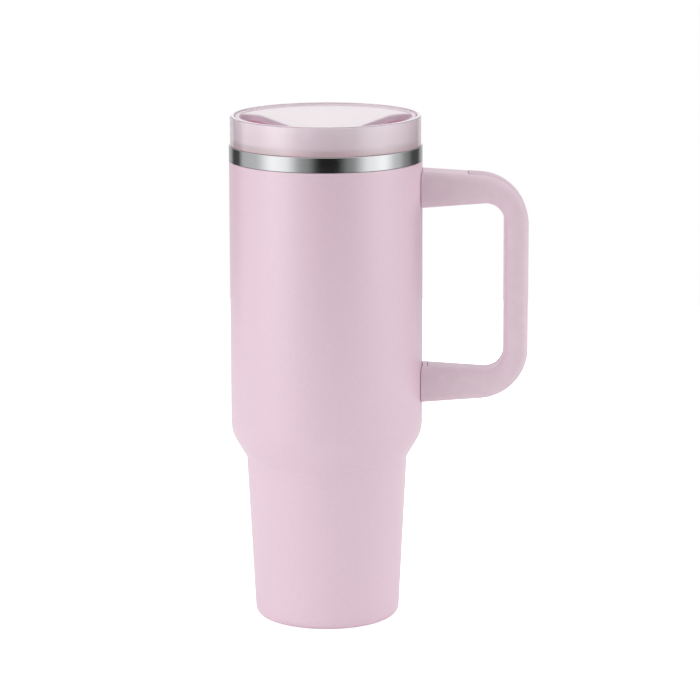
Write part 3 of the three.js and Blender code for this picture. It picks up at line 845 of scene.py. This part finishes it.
def plate_block(levels):
    """A solid with the plate's outline at each (inset, height), joined ring by ring."""
    mesh = bmesh.new()
    rings = []
    for inset, z in levels:
        points = [mesh.verts.new((metres(p.x), metres(p.y), metres(z))) for p in finger_plate(inset)]
        rings.append([mesh.edges.new((a, b)) for a, b in zip(points, points[1:] + points[:1])])
    for lower, upper in zip(rings, rings[1:]):
        bmesh.ops.bridge_loops(mesh, edges=lower + upper)
    for rim in (rings[0], rings[-1]):
        bmesh.ops.contextual_create(mesh, geom=rim)
    bmesh.ops.recalc_face_normals(mesh, faces=mesh.faces)
    return mesh


# The flank between a scoop and the plate rolls out of the scoop's floor and over on to the plate.
ROLL_R = 1.1
quarter = [math.radians(a) for a in range(0, 91, 15)]
foot = [(-ROLL_R + ROLL_R * math.sin(a), SCOOP + ROLL_R - ROLL_R * math.cos(a)) for a in quarter]
head = [(ROLL_R - ROLL_R * math.cos(a), PLATE - ROLL_R + ROLL_R * math.sin(a)) for a in quarter]
scoops = cut(
    spun([(0, SCOOP), (LIP_IN, SCOOP), (LIP_IN, PLATE + 2), (0, PLATE + 2)], steps=192),
    plate_block([(-ROLL_R, SCOOP - 2), *foot, *head, (ROLL_R, PLATE + 4)]),
)
blank = [
    (0, LOW_EDGE),
    (COVER_R, LOW_EDGE, 0.4),
    (COVER_R, cover_high.z, 0.7),
    (LIP_IN, cover_high.z, 0.6),
    (LIP_IN, PLATE),
    (0, PLATE),
]

# The hollow inside leaves a spout round each opening, which stands on the disc.
SPOUT, SPOUT_FOOT = 1.3, DISC_HIGH + 0.1
STRAW_R = 5
SLOT_REST = SLOT_AT - TRAVEL
hole_x, hole_y = straw_place(STRAW_AT + TRAVEL)
hollow = cut(
    round_bar(LIP_IN, 254, UNDER, steps=192),
    sector(SLOT_REST, SLOT_HALF, SPOUT, SPOUT_FOOT, UNDER + 1),
    round_bar(STRAW_R + SPOUT, SPOUT_FOOT, UNDER + 1, hole_x, hole_y),
)
mesh = cut(
    spun(rounded(blank), steps=192),
    scoops,
    hollow,
    plate_block([(SKIN, UNDER - 0.5), (SKIN, PLATE - SKIN)]),
    sector(SLOT_REST, SLOT_HALF, 0, *THROUGH),
    round_bar(STRAW_R, THROUGH[0], SCOOP + 0.3, hole_x, hole_y),
)
piece("cover_moulding", mesh, milky, "cover", "cover_top")

# The disc is welded in below the spouts. Its stem goes down through the lid, and has a groove for the clip.
stem_low = box_mm("cover_base")[0]
STEM_R, GROOVE_R = 4, 3.2
DISC_R = LIP_IN - 0.3
PEG_GAP, PEG_PLAY = 0.3, 6
stem = [
    (0, stem_low.z),
    (STEM_R, stem_low.z, 0.6),
    (STEM_R, 248.8),
    (GROOVE_R, 248.8),
    (GROOVE_R, 250.5),
    (STEM_R, 250.5),
    (STEM_R, DISC_LOW, 0.4),
    (DISC_R, DISC_LOW, 0.3),
    (DISC_R, DISC_HIGH, 0.3),
    (0, DISC_HIGH),
]
mesh = cut(
    spun(rounded(stem)),
    sector(SLOT_REST, SLOT_HALF, 0, *THROUGH),
    round_bar(STRAW_R, *THROUGH, hole_x, hole_y),
    sector(90, TRAVEL + PEG_PLAY, 0, *THROUGH, PEG_OUT - PEG_R - PEG_GAP, PEG_OUT + PEG_R + PEG_GAP),
)
piece("cover_disc_and_stem", mesh, milky, "cover", "cover_base")


# ------------------------------------------------------------ cover's seal and clip
# A flat silicone seal under the disc slides on the lid's floor round both openings. A clip of the milky
# plastic is pushed on to the stem from the side, below the lid's floor, and holds the cover down.
seal_low, seal_high = box_mm("cover_seal")
SEAL_IN, SEAL_R = 17, seal_high.x
seal = [
    (SEAL_IN, seal_low.z, 0.2),
    (SEAL_R, seal_low.z, 0.3),
    (SEAL_R, seal_high.z, 0.3),
    (SEAL_IN, seal_high.z, 0.2),
]
mesh = cut(
    spun(rounded(seal, True), True),
    sector(SLOT_REST, SLOT_HALF, 0.4, *THROUGH),
    round_bar(STRAW_R + 0.4, *THROUGH, hole_x, hole_y),
)
piece("cover_seal_moulded", mesh, silicone, "cover", "cover_seal")

clip_low, clip_high = box_mm("stem_clip")
CLIP_IN, CLIP_R, MOUTH = GROOVE_R + 0.3, clip_high.y, 2.6
clip = [
    (CLIP_IN, clip_low.z, 0.3),
    (CLIP_R, clip_low.z, 0.3),
    (CLIP_R, clip_high.z, 0.3),
    (CLIP_IN, clip_high.z, 0.3),
]
mesh = cut(
    spun(rounded(clip, True), True, 64),
    upright([(-10, -MOUTH), (0, -MOUTH), (0, MOUTH), (-10, MOUTH)], *THROUGH),
)
piece("stem_clip_moulded", mesh, milky, "cover", "stem_clip")
